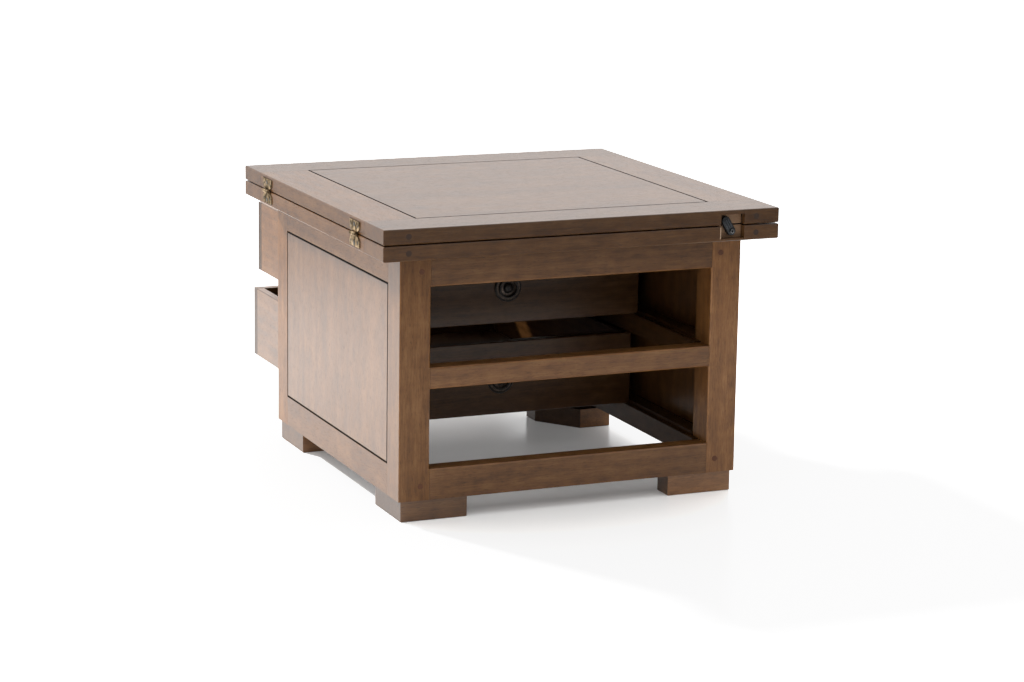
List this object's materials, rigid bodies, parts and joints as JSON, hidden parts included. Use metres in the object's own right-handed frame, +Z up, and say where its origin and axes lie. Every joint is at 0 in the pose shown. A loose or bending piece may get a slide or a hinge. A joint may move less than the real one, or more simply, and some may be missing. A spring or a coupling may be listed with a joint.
{
  "type": "extendable coffee table",
  "caption": "Low square wooden table with a fold-over top that turns and opens out, and drawers that slide through from front to rear, on block feet.",
  "frame": {"origin": "on the floor, in the middle of the footprint with the drawers as they stand", "axes": "+Z up, +Y to the rear along the drawers' travel, +X to the right seen from the front"},
  "size_m": [0.6564, 0.8968, 0.4572],
  "materials": {
    "stained_wood": "satin",
    "drawer_wood": "satin",
    "antique_brass": "aged",
    "dark_bronze": "aged",
    "black_steel": "satin",
    "plain_steel": "plain"
  },
  "bodies": {
    "carcase": {"post_front_left": "stained_wood", "post_front_right": "stained_wood", "post_rear_left": "stained_wood", "post_rear_right": "stained_wood", "front_bottom_rail": "stained_wood", "front_middle_rail": "stained_wood", "front_top_rail": "stained_wood", "rear_bottom_rail": "stained_wood", "rear_middle_rail": "stained_wood", "rear_top_rail": "stained_wood", "left_bottom_rail": "stained_wood", "left_top_rail": "stained_wood", "right_bottom_rail": "stained_wood", "right_top_rail": "stained_wood", "left_side_panel": "stained_wood", "right_side_panel": "stained_wood", "runner_lower_left": "stained_wood", "runner_lower_right": "stained_wood", "runner_upper_left": "stained_wood", "runner_upper_right": "stained_wood", "foot_front_left": "stained_wood", "foot_front_right": "stained_wood", "foot_rear_left": "stained_wood", "foot_rear_right": "stained_wood", "pivot_rail": "stained_wood"},
    "lower_leaf": {"lower_leaf_front_rail": "stained_wood", "lower_leaf_rear_rail": "stained_wood", "lower_leaf_left_stile": "stained_wood", "lower_leaf_right_stile": "stained_wood", "lower_leaf_panel": "stained_wood", "pivot_bolt": "plain_steel", "hinge_front_lower": "antique_brass", "hinge_rear_lower": "antique_brass", "latch_screw": "plain_steel"},
    "upper_leaf": {"upper_leaf_front_rail": "stained_wood", "upper_leaf_rear_rail": "stained_wood", "upper_leaf_left_stile": "stained_wood", "upper_leaf_right_stile": "stained_wood", "upper_leaf_panel": "stained_wood", "hinge_front_upper": "antique_brass", "hinge_rear_upper": "antique_brass"},
    "latch": {"latch_arm": "black_steel"},
    "upper_drawer": {"upper_drawer_front_face": "stained_wood", "upper_drawer_rear_face": "stained_wood", "upper_drawer_left_side": "drawer_wood", "upper_drawer_right_side": "drawer_wood", "upper_drawer_bottom": "drawer_wood", "upper_drawer_front_pull_plate": "dark_bronze", "upper_drawer_rear_pull_plate": "dark_bronze"},
    "lower_drawer": {"lower_drawer_front_face": "stained_wood", "lower_drawer_rear_face": "stained_wood", "lower_drawer_left_side": "drawer_wood", "lower_drawer_right_side": "drawer_wood", "lower_drawer_bottom": "drawer_wood", "lower_drawer_front_pull_plate": "dark_bronze", "lower_drawer_rear_pull_plate": "dark_bronze"},
    "upper_drawer_front_ring": {"upper_drawer_front_pull_ring": "dark_bronze"},
    "upper_drawer_rear_ring": {"upper_drawer_rear_pull_ring": "dark_bronze"},
    "lower_drawer_front_ring": {"lower_drawer_front_pull_ring": "dark_bronze"},
    "lower_drawer_rear_ring": {"lower_drawer_rear_pull_ring": "dark_bronze"}
  },
  "joints": [
    {"name": "top_turn", "type": "hinge", "parent": "carcase", "child": "lower_leaf", "pos_m": [-0.1593, 0.0391, 0.4092], "axis": [0, 0, 1], "range_deg": [0, 90]},
    {"name": "leaf_fold", "type": "hinge", "parent": "lower_leaf", "child": "upper_leaf", "pos_m": [-0.3252, -0.1234, 0.4332], "axis": [0, -1, 0], "range_deg": [0, 180]},
    {"name": "latch_swing", "type": "hinge", "parent": "lower_leaf", "child": "latch", "pos_m": [0.2484, -0.4364, 0.4241], "axis": [0, 1, 0], "range_deg": [-10, 72]},
    {"name": "upper_drawer_slide", "type": "slide", "parent": "carcase", "child": "upper_drawer", "axis": [0, 1, 0], "range_m": [-0.556, 0.044]},
    {"name": "lower_drawer_slide", "type": "slide", "parent": "carcase", "child": "lower_drawer", "axis": [0, 1, 0], "range_m": [-0.581, 0.019]},
    {"name": "upper_drawer_front_ring_lift", "type": "hinge", "parent": "upper_drawer", "child": "upper_drawer_front_ring", "pos_m": [0.0032, -0.1546, 0.31135], "axis": [-1, 0, 0], "range_deg": [0, 90]},
    {"name": "upper_drawer_rear_ring_lift", "type": "hinge", "parent": "upper_drawer", "child": "upper_drawer_rear_ring", "pos_m": [0.0032, 0.4198, 0.31135], "axis": [1, 0, 0], "range_deg": [0, 90]},
    {"name": "lower_drawer_front_ring_lift", "type": "hinge", "parent": "lower_drawer", "child": "lower_drawer_front_ring", "pos_m": [0.0032, -0.1296, 0.15535], "axis": [-1, 0, 0], "range_deg": [0, 90]},
    {"name": "lower_drawer_rear_ring_lift", "type": "hinge", "parent": "lower_drawer", "child": "lower_drawer_rear_ring", "pos_m": [0.0032, 0.4448, 0.15535], "axis": [1, 0, 0], "range_deg": [0, 90]}
  ]
}
